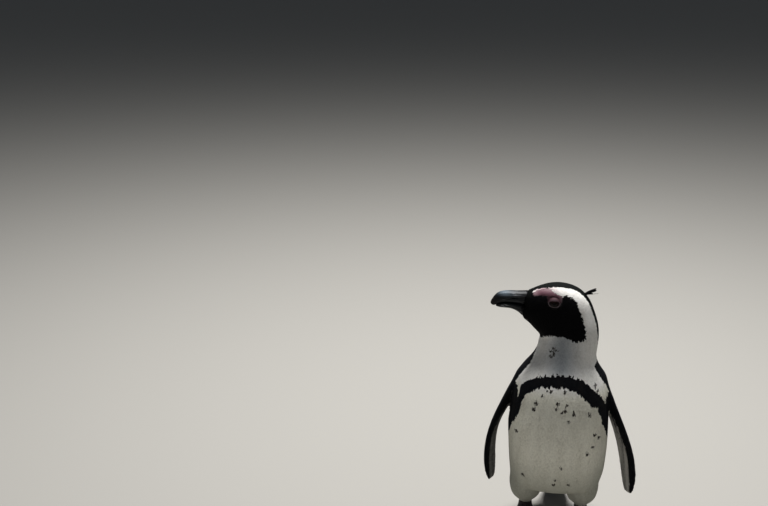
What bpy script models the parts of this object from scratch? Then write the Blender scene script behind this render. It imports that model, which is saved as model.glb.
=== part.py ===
"""African penguin standing still, its head turned to its right: a life-size model in solids.

Metres in Blender, +Z up, the bird facing -Y with its left side at +X. The sizes below are in
millimetres. The origin is on the floor, under the middle of the whole model's box.
"""

import math

import bmesh
import bpy
from mathutils import Matrix, Vector

MM = 0.001
GAP = 0.3  # clearance between pieces that meet

# Trunk, cut by planes that lean with the body's axis. Each row is one section:
# front (y, z), back (y, z), half width, sideways shift of the centre.
TRUNK_SECTIONS = (
    ((-6, 57), (24, 50), 18, -1),  # between the legs
    ((-31, 64), (45, 46), 41, -1),  # vent
    ((-53, 75), (62, 53), 61, 0),  # root of the tail
    ((-67, 93), (69.5, 75), 72.5, 1),  # lower belly
    ((-75, 117), (72.5, 103), 76, 1.2),
    ((-78.5, 146), (73, 137), 77.3, 1.2),  # fullest part of the belly
    ((-78, 177), (71, 171), 78, 0.5),
    ((-74, 209), (68, 204), 75.5, 2),
    ((-67, 238), (64, 234), 73, 2),  # breast and shoulders
    ((-58, 263), (57, 261), 64.5, 2),
    ((-49, 283), (49, 283), 49.5, 5),
)

# Neck and head, cut by planes that fan round the throat. The head looks along -X, so each row is
# throat or chin (x, z), nape or crown (x, z), half width across the head, and the centre's y.
NECK_SECTIONS = (
    ((-36, 301), (55, 303), 43.5, 0.5),
    ((-35, 310), (56, 317), 40, -1),
    ((-33, 318), (55.8, 332), 37.5, -2.5),
)
HEAD_SECTIONS = (
    ((-34.5, 324.5), (53, 347), 36, -4),
    ((-39.5, 330), (47.5, 363.5), 34, -5),
    ((-45, 335.5), (40, 381), 31.8, -6),
    ((-49.5, 340.5), (28, 395), 29.8, -6),
    ((-53, 344.5), (12, 403.3), 28, -6),  # through the eyes
    ((-55.8, 348), (-7, 406.3), 25.6, -6),
    ((-58, 350.5), (-25, 403.8), 22.2, -6),
    ((-59.3, 352.2), (-41, 398), 17.8, -6),
    ((-60, 353.3), (-54.5, 391.8), 12.8, -6),  # where feathers end on the bill
)
HEAD_Y = -6
BODY_SEGMENTS = 32
BODY_STEPS = 2  # rings from one section to the next
SECTION_SQUARENESS = 2.15  # 2 is a true ellipse

# Bill, in sections across its length: x, top z, bottom z, half width.
UPPER_BILL_SECTIONS = (
    (-49, 392, 369.6, 12.0),  # inside the head
    (-56, 391.2, 370.8, 11.5),
    (-65, 390.5, 372, 10.6),
    (-75, 390.1, 372.7, 9.6),
    (-85, 389.8, 372.8, 8.7),
    (-93, 388.8, 372, 7.7),
    (-99, 386.6, 369.6, 6.5),
    (-103.5, 383, 366.6, 5.2),
    (-107.3, 378, 365.9, 3.7),
    (-109.8, 373.6, 367.2, 2.0),
    (-110.8, 370.8, 368.6, 0.8),
)
LOWER_BILL_SECTIONS = (
    (-51, 369.6, 351.2, 11.6),  # inside the head
    (-58, 370.7, 352.8, 11.1),
    (-65, 371.7, 356.4, 10.2),
    (-72, 372.2, 359.8, 9.3),
    (-80, 372.5, 362.4, 8.2),
    (-88, 372.3, 362.8, 7.2),
    (-95, 371.2, 362.9, 6.0),
    (-99.5, 369, 363.8, 4.6),
    (-102.6, 366.3, 364.9, 2.6),
)
BILL_SEGMENTS = 14
BILL_SQUARENESS = 2.3

EYE_CENTRE = (-13.3, 381.5)  # x, z
EYE_RADIUS = 8.5
EYE_DEPTH = 6.7  # from the head's side in to the eye's centre
HEAD_HALF_WIDTH_AT_EYE = 28.2

# Wings hang from the shoulder along a curve of four control values, given for each side because
# the bird holds its left wing further out: x, y, z, and the degrees that the leading edge points
# away from the body.
WING_CURVES = {
    "wing_right": (
        (-55.4, 3, 261, 32.5),
        (-86, 7, 178, 16.5),
        (-119, 12, 164, 4.6),
        (-101.8, 5, 57.7, 29),
    ),
    "wing_left": (
        (61, 3, 266, 28),
        (69.6, 7, 206.3, 14.4),
        (120.7, 12, 149.7, 30.5),
        (116.4, 5, 50.6, 34.2),
    ),
}
WING_ROOT_CHORD = 38.8
WING_CHORD = 50
WING_FULLEST = 0.45  # share of the span where the chord is greatest
WING_TIP_BLUNTNESS = 4
WING_END = 0.985  # share of the curve that the wing runs along
WING_ROOT_THICKNESS = 15
WING_TIP_THICKNESS = 5
WING_EDGE_THICKNESS = 1.6  # the least, at the very tip
WING_THINNING_CHORD = 30  # the wing also thins where its chord is less than this
WING_SEGMENTS = 14
WING_RINGS = 16

# Feathered legs and bare feet, for the left side; the right side is its mirror image.
LEG_X = 44.5
LEG_MIDDLE = -1.5  # the middle between the legs, which the bird holds a little to its right
LEG_SECTIONS = (  # z, half width, half depth, centre y
    (98, 24.5, 40, -3),
    (78, 26.5, 38, -2),
    (60, 26, 33.5, 0),
    (47, 23, 27, 2),
    (38.5, 18, 20, 4),
    (33, 12.5, 13.5, 5),
)
SHANK_SECTIONS = (
    (46, 9, 10.5, 5),
    (36, 9.5, 11, 5),
    (27, 10, 12, 5),
    (18, 11.5, 14, 4),
    (9, 13.5, 18, 2),
    (-3, 13, 19, 0),
)
FOOT_ROOT_Y = -4  # where the toes spread
FOOT_TURN = 7  # degrees that the foot points outwards
# Toes: splay from the middle one in degrees, length to the claw, radius at the root.
TOES = {
    "inner": (-23, 41, 6.6),
    "middle": (0, 57, 7.2),
    "outer": (22, 50, 6.8),
}
TOE_TIP_RADIUS = 4.3
TOE_PHALANX = 16  # from one knuckle to the next
TOE_RINGS = 3  # from one knuckle to the next
KNUCKLE_SWELLING = 0.09
TOE_SINK = 0.2  # share of its radius by which a toe's round underside is cut off flat
CLAW_LENGTH = 13
CLAW_RADIUS = 2.6
CLAW_POINT_RADIUS = 0.5
CLAW_TIP_HEIGHT = 1.2
CLAW_RINGS = 5
HIND_TOE_SIDE = 10  # from the shank's middle to the small toe on its inner side
HIND_TOE_START = (5, 12)  # y, z
HIND_TOE_DIRECTION = (-0.9, -0.25, -0.35)  # for the left foot
HIND_TOE_RADII = (4.2, 3.9, 3.0)
HIND_TOE_LENGTH = 11
HIND_CLAW_LENGTH = 7
HIND_CLAW_RADIUS = 2.1
HIND_CLAW_DROOP = 1
WEB_THICKNESS = 3.2
WEB_REACH = 0.95  # share of each toe's length that the web runs to
WEB_DIP = 0.82  # where the curve of the web's free edge is drawn to, as a share of the same
WEB_EDGE_POINTS = 5
WEB_ROOT_RADIUS = 8
WEB_ROOT_SPLAY = 70  # degrees from the middle toe to each side of the web's root

# Tail: centre (y, z), half width, half thickness, from inside the rump to the tip.
TAIL_SECTIONS = (
    ((40, 78), 25, 16),
    ((56, 61), 26, 14.5),
    ((70, 45), 24.5, 10.5),
    ((83, 31), 20.5, 6.5),
    ((95, 17), 15, 3.8),
    ((105, 5.5), 9.5, 2.2),
    ((109.5, 0.8), 6.5, 1.5),
)
TAIL_LEAN = 45  # degrees that the tail's flat side leans from upright

MATERIALS = {  # base colour, roughness
    "white_plumage": ((0.80, 0.80, 0.78), 0.75),
    "black_plumage": ((0.025, 0.026, 0.03), 0.6),
    "bill_horn": ((0.05, 0.055, 0.065), 0.35),
    "foot_skin": ((0.045, 0.04, 0.042), 0.55),
    "claw_horn": ((0.03, 0.027, 0.025), 0.4),
    "eye": ((0.05, 0.025, 0.015), 0.08),
}


def clear_scene():
    for old in list(bpy.data.objects):
        bpy.data.objects.remove(old)


def make_collections():
    scene = bpy.context.scene.collection
    made = []
    for name in ("african_penguin", "cutters"):
        collection = bpy.data.collections.new(name)
        scene.children.link(collection)
        made.append(collection)
    return made


def material(name):
    found = bpy.data.materials.get(name)
    if found:
        return found
    colour, roughness = MATERIALS[name]
    found = bpy.data.materials.new(name)
    found.use_nodes = True
    shader = found.node_tree.nodes["Principled BSDF"]
    shader.inputs["Base Color"].default_value = (*colour, 1)
    shader.inputs["Roughness"].default_value = roughness
    return found


def point(x, y, z):
    return Vector((x, y, z)) * MM


def heading(side, degrees):
    """A level direction forwards, turned outwards by some degrees, for the left (1) or right (-1)."""
    angle = math.radians(degrees)
    return Vector((side * math.sin(angle), -math.cos(angle), 0))


def middle_of(ring):
    return sum(ring, Vector()) / len(ring)


def add_piece(name, mesh, look, collection):
    """Makes an object from a bmesh. Without a look it is a cutter, which isn't rendered."""
    data = bpy.data.meshes.new(name)
    mesh.to_mesh(data)
    mesh.free()
    data.shade_smooth()
    piece = bpy.data.objects.new(name, data)
    collection.objects.link(piece)
    if look:
        data.materials.append(material(look))
    else:
        piece.hide_render = True
        piece.display_type = "WIRE"
    return piece


def oval(centre, across, low, high, segments, squareness=2.0):
    """A closed section: across reaches one side of it, low and high its two ends."""
    ring = []
    for i in range(segments):
        angle = math.tau * i / segments
        c, s = math.cos(angle), math.sin(angle)
        side = math.copysign(abs(c) ** (2 / squareness), c)
        end = abs(s) ** (2 / squareness)
        ring.append(centre + across * side + (high if s > 0 else low) * end)
    return ring


def smoothed(rings, steps=2):
    """Adds rings between the given ones, on a curve through the matching points of each."""
    last = len(rings) - 1
    made = []
    for i in range(last):
        before, start, end, after = (rings[min(max(i + k, 0), last)] for k in (-1, 0, 1, 2))
        for step in range(steps):
            t = step / steps
            weights = (
                (-t + 2 * t**2 - t**3) / 2,
                (2 - 5 * t**2 + 3 * t**3) / 2,
                (t + 4 * t**2 - 3 * t**3) / 2,
                (t**3 - t**2) / 2,
            )
            made.append(
                [
                    sum((p * weight for p, weight in zip(points, weights)), Vector())
                    for points in zip(before, start, end, after)
                ]
            )
    return made + [rings[last]]


def loft(name, rings, look, collection, grow=0.0):
    """A closed mesh through rings of equally many points, with a fan of triangles on each end.

    It is all triangles, so that a cutter grown from a piece has the same folds as the piece.
    """
    mesh = bmesh.new()
    loops = [[mesh.verts.new(p) for p in ring] for ring in rings]
    count = len(loops[0])
    for low, high in zip(loops, loops[1:]):
        for i in range(count):
            j = (i + 1) % count
            mesh.faces.new((low[i], low[j], high[j]))
            mesh.faces.new((low[i], high[j], high[i]))
    for loop, ring in ((loops[0], rings[0]), (loops[-1], rings[-1])):
        middle = mesh.verts.new(middle_of(ring))
        for i in range(count):
            mesh.faces.new((loop[i], loop[(i + 1) % count], middle))
    bmesh.ops.recalc_face_normals(mesh, faces=mesh.faces)
    mesh.normal_update()
    moves = [v.normal * grow * MM for v in mesh.verts]
    for v, move in zip(mesh.verts, moves):
        v.co += move
    return add_piece(name, mesh, look, collection)


def ball(name, centre, radius, look, collection):
    mesh = bmesh.new()
    bmesh.ops.create_uvsphere(mesh, u_segments=16, v_segments=10, radius=radius * MM)
    made = add_piece(name, mesh, look, collection)
    made.location = centre
    return made


def floor_cutter(cutters):
    """A block under the floor, which cuts flat soles."""
    mesh = bmesh.new()
    bmesh.ops.create_cube(mesh, size=1)
    block = add_piece("floor_cutter", mesh, None, cutters)
    block.scale = (0.6, 0.6, 0.1)
    block.location = (0, 0, -0.05)
    return block


def boolean(target, other, operation):
    modifier = target.modifiers.new(f"{operation.lower()} {other.name}", "BOOLEAN")
    modifier.operation = operation
    modifier.object = other


def body_rings():
    """The rings of trunk, neck and head in one run, with the indexes where neck and head begin."""
    rings = []
    for (front_y, front_z), (back_y, back_z), half_width, shift in TRUNK_SECTIONS:
        front, back = point(shift, front_y, front_z), point(shift, back_y, back_z)
        centre = (front + back) / 2
        side = point(half_width, 0, 0)
        rings.append(
            oval(centre, side, front - centre, back - centre, BODY_SEGMENTS, SECTION_SQUARENESS)
        )
    for (throat_x, throat_z), (nape_x, nape_z), half_width, y in NECK_SECTIONS + HEAD_SECTIONS:
        throat, nape = point(throat_x, y, throat_z), point(nape_x, y, nape_z)
        centre = (throat + nape) / 2
        side = point(0, half_width, 0)
        rings.append(oval(centre, nape - centre, -side, side, BODY_SEGMENTS, SECTION_SQUARENESS))
    neck = (len(TRUNK_SECTIONS) - 1) * BODY_STEPS
    head = neck + len(NECK_SECTIONS) * BODY_STEPS
    return smoothed(rings, BODY_STEPS), neck, head


def raised_start(rings):
    """The rings with the first one moved along the loft, for a gap to the piece before."""
    step = (middle_of(rings[1]) - middle_of(rings[0])).normalized() * GAP * MM
    return [[p + step for p in rings[0]]] + rings[1:]


def make_body(parts, cutters):
    """Trunk, neck and head, and for cutting what meets them, the trunk and head grown by the gap."""
    rings, neck, head = body_rings()
    loft("trunk", rings[: neck + 1], "white_plumage", parts)
    loft("neck", raised_start(rings[neck : head + 1]), "white_plumage", parts)
    skull = loft("head", raised_start(rings[head:]), "black_plumage", parts)
    trunk_cutter = loft("trunk_cutter", rings[: neck + 1], None, cutters, GAP)
    head_cutter = loft("head_cutter", rings[head:], None, cutters, GAP)
    return skull, trunk_cutter, head_cutter


def make_bill(head_cutter, parts):
    """Two halves, each fullest near the line where they meet."""
    for name, sections, fullest, lowered in (
        ("bill_upper", UPPER_BILL_SECTIONS, 0.3, 0),
        ("bill_lower", LOWER_BILL_SECTIONS, 0.7, GAP),
    ):
        rings = []
        for x, top, bottom, half_width in sections:
            up = point(0, 0, top - lowered - bottom)
            centre = point(x, HEAD_Y, bottom) + up * fullest
            side = point(0, half_width, 0)
            rings.append(
                oval(centre, side, -up * fullest, up * (1 - fullest), BILL_SEGMENTS, BILL_SQUARENESS)
            )
        boolean(loft(name, smoothed(rings), "bill_horn", parts), head_cutter, "DIFFERENCE")


def make_eyes(skull, parts, cutters):
    """Eyeballs in sockets. The head looks along -X, so that its right side is at +Y."""
    x, z = EYE_CENTRE
    for name, side in (("eye_right", 1), ("eye_left", -1)):
        y = HEAD_Y + side * (HEAD_HALF_WIDTH_AT_EYE - EYE_DEPTH)
        ball(name, point(x, y, z), EYE_RADIUS, "eye", parts)
        socket = ball(f"{name}_socket", point(x, y, z), EYE_RADIUS + GAP, None, cutters)
        boolean(skull, socket, "DIFFERENCE")


def wing_chord(t):
    """Width of the wing at t of its span: it swells past the shoulder and ends round."""
    if t < WING_FULLEST:
        swelling = math.sin(math.pi / 2 * t / WING_FULLEST)
        return WING_ROOT_CHORD + (WING_CHORD - WING_ROOT_CHORD) * swelling
    past = (t - WING_FULLEST) / (1 - WING_FULLEST)
    return WING_CHORD * math.sqrt(1 - past**WING_TIP_BLUNTNESS)


def wing_thickness(t):
    tapered = WING_ROOT_THICKNESS + (WING_TIP_THICKNESS - WING_ROOT_THICKNESS) * t
    return max(tapered * min(1, wing_chord(t) / WING_THINNING_CHORD), WING_EDGE_THICKNESS)


def along_curve(a, b, c, d, t):
    """The value at t along a curve of four control values."""
    u = 1 - t
    return a * u**3 + b * 3 * u**2 * t + c * 3 * u * t**2 + d * t**3


def make_wings(trunk_cutter, parts):
    for name, curve in WING_CURVES.items():
        side = -1 if name == "wing_right" else 1
        a, b, c, d = (point(*row[:3]) for row in curve)
        turns = [row[3] for row in curve]
        rings = []
        for i in range(WING_RINGS):
            t = WING_END * math.sin(math.pi / 2 * i / (WING_RINGS - 1))
            u = 1 - t
            centre = along_curve(a, b, c, d, t)
            along = ((b - a) * u**2 + (c - b) * 2 * u * t + (d - c) * t**2).normalized()
            forward = heading(side, along_curve(*turns, t))
            forward = (forward - along * forward.dot(along)).normalized()
            lead = forward * wing_chord(t) / 2 * MM
            outward = along.cross(forward) * wing_thickness(t) / 2 * MM
            rings.append(oval(centre, outward, lead, -lead, WING_SEGMENTS))
        boolean(loft(name, rings, "black_plumage", parts), trunk_cutter, "DIFFERENCE")


def upright_rings(sections, x, segments):
    """Level oval rings, for a leg or a shank."""
    return smoothed(
        [
            oval(
                point(x, y, z),
                point(half_width, 0, 0),
                point(0, -half_depth, 0),
                point(0, half_depth, 0),
                segments,
            )
            for z, half_width, half_depth, y in sections
        ]
    )


def toe_rings(root, ahead, length, root_radius):
    """A toe thins towards its tip, with a slight swelling at each knuckle."""
    sideways = Vector((-ahead.y, ahead.x, 0))
    knuckles = max(round(length / TOE_PHALANX), 2)
    count = knuckles * TOE_RINGS
    rings = []
    for i in range(count + 1):
        t = i / count
        radius = root_radius + (TOE_TIP_RADIUS - root_radius) * t
        radius *= (1 + KNUCKLE_SWELLING * math.cos(math.tau * knuckles * t)) * MM
        up = Vector((0, 0, radius))
        centre = root + ahead * length * t * MM + up * (1 - TOE_SINK)
        rings.append(oval(centre, sideways * radius, -up, up, 8))
    return rings


def claw_rings(start, ahead, length, radius, droop):
    """A horn claw that curves down from the toe's end to a blunt point."""
    sideways = Vector((-ahead.y, ahead.x, 0)).normalized()
    upwards = ahead.cross(sideways)
    rings = []
    for i in range(CLAW_RINGS):
        t = i / (CLAW_RINGS - 1)
        size = (radius * (1 - t) ** 0.8 + CLAW_POINT_RADIUS) * MM
        centre = start + ahead * length * t * MM - point(0, 0, droop * t**2)
        rings.append(oval(centre, sideways * size * 0.8, -upwards * size, upwards * size, 8))
    return rings


def web(name, root, side, cutters):
    """The skin between the toes: a flat outline with two hollow edges, extruded."""
    ends = [
        root + heading(side, FOOT_TURN + splay) * length * WEB_REACH * MM
        for splay, length, _ in TOES.values()
    ]
    corners = [
        root + heading(side, FOOT_TURN + splay) * WEB_ROOT_RADIUS * MM
        for splay in (-WEB_ROOT_SPLAY, WEB_ROOT_SPLAY)
    ]
    outline = [corners[0], ends[0]]
    for first, second in zip(ends, ends[1:]):
        dip = root + ((first + second) / 2 - root) * WEB_DIP
        for i in range(1, WEB_EDGE_POINTS + 1):
            t = i / (WEB_EDGE_POINTS + 1)
            outline.append(first * (1 - t) ** 2 + dip * 2 * t * (1 - t) + second * t**2)
        outline.append(second)
    outline.append(corners[1])
    mesh = bmesh.new()
    under_floor = point(0, 0, -1)
    sole = mesh.faces.new([mesh.verts.new(p + under_floor) for p in outline])
    raised = bmesh.ops.extrude_face_region(mesh, geom=[sole])["geom"]
    top = [v for v in raised if isinstance(v, bmesh.types.BMVert)]
    bmesh.ops.translate(mesh, vec=point(0, 0, WEB_THICKNESS) - under_floor, verts=top)
    bmesh.ops.recalc_face_normals(mesh, faces=mesh.faces)
    return add_piece(name, mesh, None, cutters)


def make_toes(foot, word, side, parts, cutters):
    """Joins three webbed toes to the foot, and sets a claw in front of each."""
    root = point(LEG_MIDDLE + side * LEG_X, FOOT_ROOT_Y, 0)
    boolean(foot, web(f"web_{word}", root, side, cutters), "UNION")
    for toe, (splay, length, radius) in TOES.items():
        ahead = heading(side, FOOT_TURN + splay)
        rings = toe_rings(root, ahead, length, radius)
        boolean(foot, loft(f"toe_{toe}_{word}", rings, None, cutters), "UNION")
        start = middle_of(rings[-1]) + ahead * GAP * MM
        droop = start.z / MM - CLAW_TIP_HEIGHT
        claw = claw_rings(start, ahead, CLAW_LENGTH, CLAW_RADIUS, droop)
        loft(f"claw_{toe}_{word}", claw, "claw_horn", parts)


def make_hind_toe(foot, word, side, parts, cutters):
    """The small hind toe on the shank's inner side, with its claw."""
    start = point(LEG_MIDDLE + side * (LEG_X - HIND_TOE_SIDE), *HIND_TOE_START)
    x, y, z = HIND_TOE_DIRECTION
    ahead = Vector((side * x, y, z)).normalized()
    across = ahead.orthogonal().normalized() * MM
    up = ahead.cross(across)
    rings = []
    for i, radius in enumerate(HIND_TOE_RADII):
        centre = start + ahead * HIND_TOE_LENGTH * i / (len(HIND_TOE_RADII) - 1) * MM
        rings.append(oval(centre, across * radius, -up * radius, up * radius, 10))
    boolean(foot, loft(f"hind_toe_{word}", rings, None, cutters), "UNION")
    end = start + ahead * (HIND_TOE_LENGTH + GAP) * MM
    claw = claw_rings(end, ahead, HIND_CLAW_LENGTH, HIND_CLAW_RADIUS, HIND_CLAW_DROOP)
    loft(f"claw_hind_{word}", claw, "claw_horn", parts)


def make_leg(side, trunk_cutter, floor, parts, cutters):
    """A feathered leg and a bare webbed foot with claws, for the left (1) or the right (-1)."""
    word = "left" if side > 0 else "right"
    x = LEG_MIDDLE + side * LEG_X
    leg_rings = upright_rings(LEG_SECTIONS, x, 16)
    boolean(loft(f"leg_{word}", leg_rings, "white_plumage", parts), trunk_cutter, "DIFFERENCE")
    leg_cutter = loft(f"leg_cutter_{word}", leg_rings, None, cutters, GAP)
    foot = loft(f"foot_{word}", upright_rings(SHANK_SECTIONS, x, 12), "foot_skin", parts)
    make_toes(foot, word, side, parts, cutters)
    make_hind_toe(foot, word, side, parts, cutters)
    boolean(foot, leg_cutter, "DIFFERENCE")
    boolean(foot, floor, "DIFFERENCE")


def make_tail(trunk_cutter, floor, parts):
    """A wedge of stiff feathers, whose tip is cut flat where it rests on the floor."""
    lean = math.radians(TAIL_LEAN)
    rings = []
    for (y, z), half_width, half_thickness in TAIL_SECTIONS:
        thick = Vector((0, math.cos(lean), math.sin(lean))) * half_thickness * MM
        rings.append(oval(point(0, y, z), point(half_width, 0, 0), -thick, thick, 16))
    tail = loft("tail", smoothed(rings), "black_plumage", parts)
    boolean(tail, trunk_cutter, "DIFFERENCE")
    boolean(tail, floor, "DIFFERENCE")


def stand_on_origin(parts, cutters):
    """Moves everything so that the middle of the model's box is over the origin."""
    bpy.context.view_layer.update()
    graph = bpy.context.evaluated_depsgraph_get()
    corners = []
    for piece in parts.objects:
        shaped = piece.evaluated_get(graph)
        corners += [shaped.matrix_world @ Vector(corner) for corner in shaped.bound_box]
    low = Vector(min(c[i] for c in corners) for i in range(3))
    high = Vector(max(c[i] for c in corners) for i in range(3))
    shift = Vector((-(low.x + high.x) / 2, -(low.y + high.y) / 2, -low.z))
    for thing in (*parts.objects, *cutters.objects):
        thing.matrix_world = Matrix.Translation(shift) @ thing.matrix_world


def main():
    clear_scene()
    parts, cutters = make_collections()
    skull, trunk_cutter, head_cutter = make_body(parts, cutters)
    make_bill(head_cutter, parts)
    make_eyes(skull, parts, cutters)
    make_wings(trunk_cutter, parts)
    floor = floor_cutter(cutters)
    for side in (1, -1):
        make_leg(side, trunk_cutter, floor, parts, cutters)
    make_tail(trunk_cutter, floor, parts)
    stand_on_origin(parts, cutters)


main()
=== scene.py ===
import math

import bmesh
import bpy
import numpy as np
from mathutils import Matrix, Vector
from mathutils.bvhtree import BVHTree
from mathutils.kdtree import KDTree


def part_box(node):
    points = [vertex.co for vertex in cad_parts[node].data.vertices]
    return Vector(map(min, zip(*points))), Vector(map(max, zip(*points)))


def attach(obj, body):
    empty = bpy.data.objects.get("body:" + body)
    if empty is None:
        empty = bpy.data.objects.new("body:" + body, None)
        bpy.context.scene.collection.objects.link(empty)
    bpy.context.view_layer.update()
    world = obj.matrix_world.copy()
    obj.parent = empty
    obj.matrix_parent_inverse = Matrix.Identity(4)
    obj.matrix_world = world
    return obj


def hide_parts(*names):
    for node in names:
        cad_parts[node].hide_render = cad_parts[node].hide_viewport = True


# A life-size African penguin. Lengths are in millimetres in the bird's own frame: x from the middle
# of the body to the bird's left, y to its back, z up from the floor. toRow turns them to metres.
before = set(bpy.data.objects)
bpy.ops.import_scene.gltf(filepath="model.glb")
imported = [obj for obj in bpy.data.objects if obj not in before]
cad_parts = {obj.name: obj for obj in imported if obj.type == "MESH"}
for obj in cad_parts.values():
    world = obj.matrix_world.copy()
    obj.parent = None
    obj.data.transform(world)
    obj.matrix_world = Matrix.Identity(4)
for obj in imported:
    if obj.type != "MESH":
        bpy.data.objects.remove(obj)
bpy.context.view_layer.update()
mm = 0.001
eyeLow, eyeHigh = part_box("eye_left")
birdOrigin = np.array([(eyeLow.x + eyeHigh.x) / 2 + 13.3 * mm, (eyeLow.y + eyeHigh.y) / 2 + 27.5 * mm, 0])
dice = np.random.default_rng(7)


def toRow(points):
    return np.asarray(points, float) * mm + birdOrigin


def toBird(points):
    return (np.asarray(points, float) - birdOrigin) / mm


def unit(vectors):
    length = np.linalg.norm(vectors, axis=-1, keepdims=True)
    return vectors / np.maximum(length, 1e-9)


def linear(hexColour):
    parts = [int(hexColour[i:i + 2], 16) / 255 for i in (1, 3, 5)]
    return (*[c / 12.92 if c <= 0.04045 else ((c + 0.055) / 1.055) ** 2.4 for c in parts], 1)


def shades(*hexColours):
    return np.array([linear(h)[:3] for h in hexColours])


def smoothStep(low, high, value):
    t = np.clip((value - low) / (high - low), 0, 1)
    return t * t * (3 - 2 * t)


def hump(value, middle, width):
    return np.exp(-((value - middle) / width)**2)


def blend(first, second, share):
    return first * (1 - share) + second * share


def follow(line, value):
    # the second number of a bent line's points, where the first is value
    return np.interp(value, *np.array(line).T)


def inside(outline, a, b):
    # even-odd test of points (a, b) against a closed outline
    corners = np.array(outline, float)
    found = np.zeros(len(a), bool)
    for (a1, b1), (a2, b2) in zip(corners, np.roll(corners, -1, axis=0)):
        if b1 == b2:
            continue
        crosses = (b1 > b) != (b2 > b)
        found ^= crosses & (a < (a2 - a1) * (b - b1) / (b2 - b1) + a1)
    return found


def waves(points, size, seed):
    # smooth noise from -1 to 1 whose patches are about size across
    turns = np.random.default_rng(seed)
    total = np.zeros(len(points))
    for _ in range(5):
        direction = unit(turns.normal(size=3)) * turns.uniform(0.7, 1.4)
        total += np.sin(points @ direction * math.pi / size + turns.uniform(0, math.tau))
    return total / 3


def addNode(tree, kind, inputs=None, **settings):
    node = tree.nodes.new(kind)
    for name, value in settings.items():
        setattr(node, name, value)
    for key, value in (inputs or {}).items():
        if isinstance(value, bpy.types.NodeSocket):
            tree.links.new(value, node.inputs[key])
        else:
            node.inputs[key].default_value = value
    return node


def newMaterial(name, **shaderInputs):
    made = bpy.data.materials.new(name)
    made.use_nodes = True
    shader = made.node_tree.nodes["Principled BSDF"]
    for key, value in shaderInputs.items():
        shader.inputs[key.replace("_", " ")].default_value = value
    return made, made.node_tree, shader


def addObject(name, data):
    made = bpy.data.objects.new(name, data)
    bpy.context.scene.collection.objects.link(made)
    return made


def activate(piece):
    bpy.ops.object.select_all(action="DESELECT")
    piece.select_set(True)
    bpy.context.view_layer.objects.active = piece


def applyModifier(piece, kind, **settings):
    activate(piece)
    bpy.ops.object.modifier_add(type=kind)
    modifier = piece.modifiers[-1]
    for name, value in settings.items():
        setattr(modifier, name, value)
    bpy.ops.object.modifier_apply(modifier=modifier.name)


def editAll(piece, operator, **settings):
    # one edit mode operator on all of a piece
    activate(piece)
    bpy.ops.object.mode_set(mode="EDIT")
    bpy.ops.mesh.select_all(action="SELECT")
    operator(**settings)
    bpy.ops.object.mode_set(mode="OBJECT")


def copyOf(names, name, grow=0.0):
    # one mesh from copies of CAD nodes, each closed and grown a little so that they meet
    joined = bmesh.new()
    for node in names:
        part = bmesh.new()
        part.from_mesh(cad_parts[node].data)
        bmesh.ops.remove_doubles(part, verts=part.verts, dist=0.00002)
        part.normal_update()
        moves = [v.normal * grow * mm for v in part.verts]
        for v, move in zip(part.verts, moves):
            v.co += move
        data = bpy.data.meshes.new("part")
        part.to_mesh(data)
        part.free()
        joined.from_mesh(data)
        bpy.data.meshes.remove(data)
    mesh = bpy.data.meshes.new(name)
    joined.to_mesh(mesh)
    joined.free()
    return addObject(name, mesh)


def readAll(rows, name, width, kind=np.float32):
    # one value of every vertex, edge, triangle or corner as an array
    values = np.zeros(len(rows) * width, kind)
    rows.foreach_get(name, values)
    return values.reshape(-1, width)


def vertsOf(piece):
    return toBird(readAll(piece.data.vertices, "co", 3))


def setVerts(piece, verts):
    piece.data.vertices.foreach_set("co", toRow(verts).astype(np.float32).ravel())
    piece.data.update()


def normalsOf(piece):
    return readAll(piece.data.vertices, "normal", 3).astype(float)


def spread(piece, values, rounds):
    # averages a value over neighbouring vertices
    first, second = readAll(piece.data.edges, "vertices", 2, np.int32).T
    count = len(piece.data.vertices)
    degree = np.bincount(first, minlength=count) + np.bincount(second, minlength=count)
    for _ in range(rounds):
        total = np.bincount(first, values[second], count) + np.bincount(second, values[first], count)
        values = (values + total / np.maximum(degree, 1)) / 2
    return values


def easedVerts(piece, rounds):
    return np.stack([spread(piece, column, rounds) for column in vertsOf(piece).T], 1)


def paint(piece, name, colours):
    # one colour for each vertex
    layer = piece.data.color_attributes.new(name, "FLOAT_COLOR", "POINT")
    rgba = np.ones((len(colours), 4), np.float32)
    rgba[:, :3] = colours
    layer.data.foreach_set("color", rgba.ravel())


def ride(piece, slotName, *nodes):
    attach(piece, "root")
    if nodes:
        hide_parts(*nodes)


def treeOf(points):
    tree = KDTree(len(points))
    for i, point in enumerate(points):
        tree.insert(point, i)
    tree.balance()
    return tree


def thinned(points, gaps):
    # of the points in their order, those that no kept one has nearer than its gap
    rows = points.tolist()
    tree = treeOf(rows)
    free = np.ones(len(rows), bool)
    kept = []
    for i, gap in enumerate(gaps):
        if free[i]:
            kept.append(i)
            for _, j, _ in tree.find_range(rows[i], gap):
                free[j] = False
    return np.array(kept)


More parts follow.
